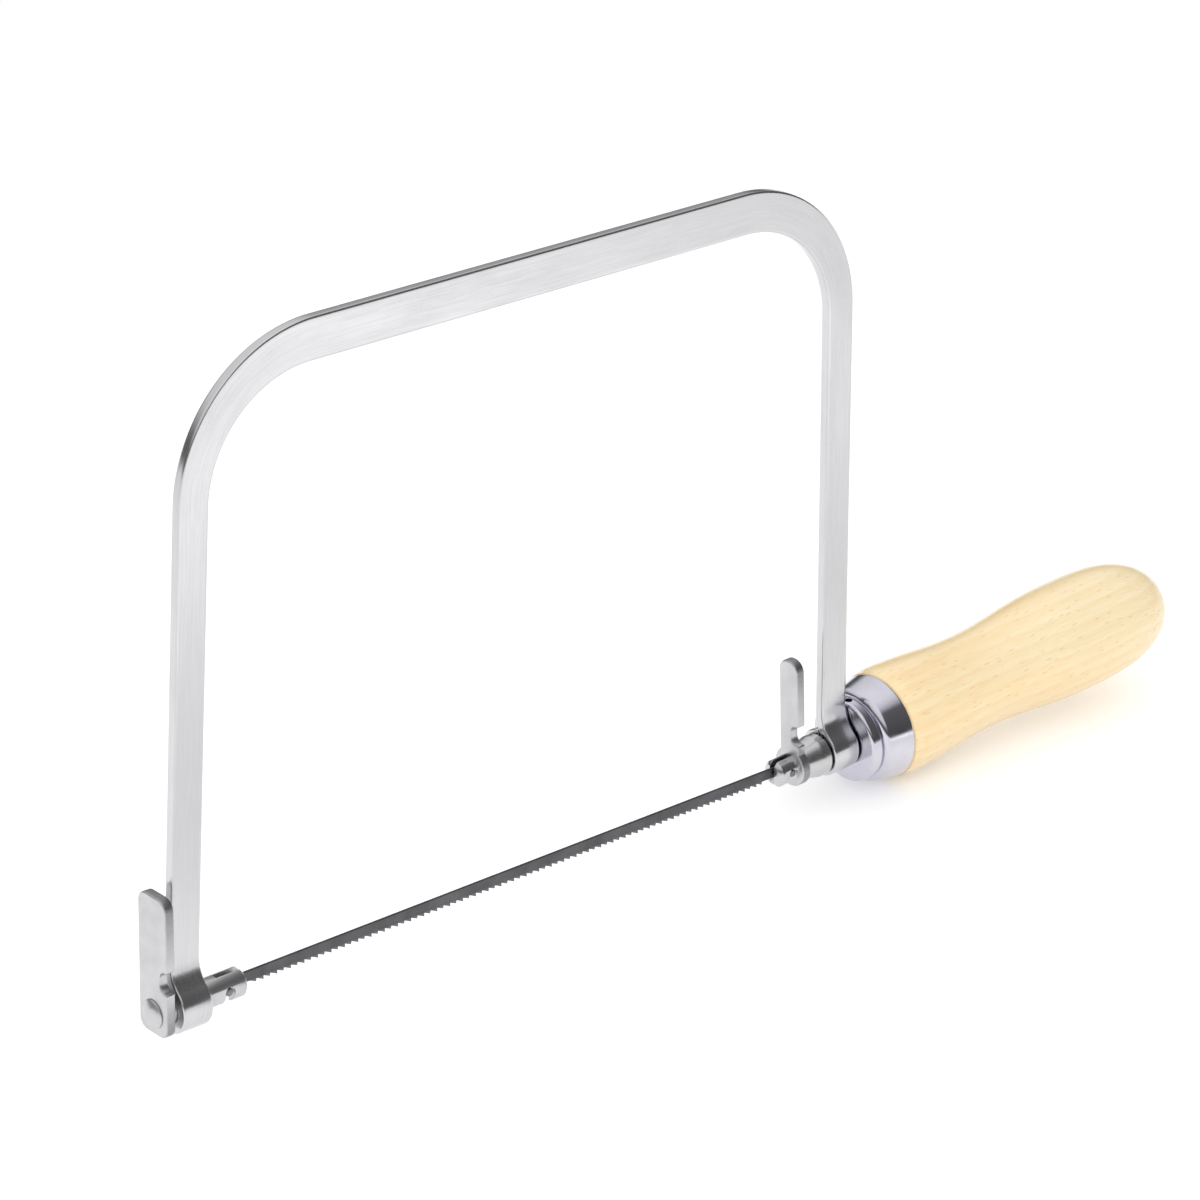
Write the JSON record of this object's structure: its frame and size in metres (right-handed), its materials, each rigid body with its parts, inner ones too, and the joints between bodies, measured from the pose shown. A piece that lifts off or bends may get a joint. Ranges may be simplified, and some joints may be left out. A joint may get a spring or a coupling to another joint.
{
  "type": "fret saw",
  "caption": "Fret saw with a bright flat-bar bow, pin-end blade in turning hooked spigots with lever plates, and a turned beech screw-on handle.",
  "frame": {"origin": "the middle of the underside of the bow's back, midway between the two legs and in the blade's middle plane", "axes": "+X along the blade from the front spigot to the handle, +Z from the blade up to the bow's back, +Y through the bow, away from the side with the levers' notches"},
  "size_m": [0.3008, 0.027, 0.1526],
  "materials": {
    "bright_plate": "bright nickel plate with soft reflections",
    "plated_steel": "satin plated steel",
    "collar_plate": "bright nickel plate",
    "blade_steel": "dark tempered steel",
    "pin_steel": "bare steel",
    "insert_brass": "turned",
    "lacquered_beech": "clear gloss lacquer over pale beech"
  },
  "bodies": {
    "bow_body": {"bow": "bright_plate"},
    "front_holder": {"front_spigot": "plated_steel", "front_lever": "plated_steel"},
    "blade_body": {"blade": "blade_steel", "cross_pins": "pin_steel"},
    "rear_holder": {"rear_spigot": "plated_steel", "rear_lever": "plated_steel", "rear_hub": "plated_steel"},
    "collar_body": {"thrust_collar": "collar_plate"},
    "handle_body": {"handle": "lacquered_beech", "ferrule": "collar_plate", "threaded_insert": "insert_brass"}
  },
  "joints": [
    {"name": "front_turn", "type": "hinge", "parent": "bow_body", "child": "front_holder", "pos_m": [-0.082, 0, -0.1325], "axis": [1, 0, 0], "continuous": true},
    {"name": "blade_turn", "type": "hinge", "parent": "bow_body", "child": "blade_body", "pos_m": [-0.082, 0, -0.1325], "axis": [1, 0, 0], "continuous": true},
    {"name": "rear_turn", "type": "hinge", "parent": "bow_body", "child": "rear_holder", "pos_m": [0.078, 0, -0.1325], "axis": [0.9976, 0, 0.0698], "continuous": true},
    {"name": "collar_slide", "type": "slide", "parent": "bow_body", "child": "collar_body", "axis": [0.9976, 0, 0.0698], "range_m": [0, 0.004]},
    {"name": "handle_spin", "type": "hinge", "parent": "collar_body", "child": "handle_body", "pos_m": [0.078, 0, -0.1325], "axis": [0.9976, 0, 0.0698], "range_deg": [0, 1440]}
  ],
  "couplings": [
    {"joint": "blade_turn", "follows": "front_turn", "ratio": 1},
    {"joint": "rear_turn", "follows": "front_turn", "ratio": 1},
    {"joint": "collar_slide", "follows": "handle_spin", "m_per_rad": 0.00015915}
  ]
}
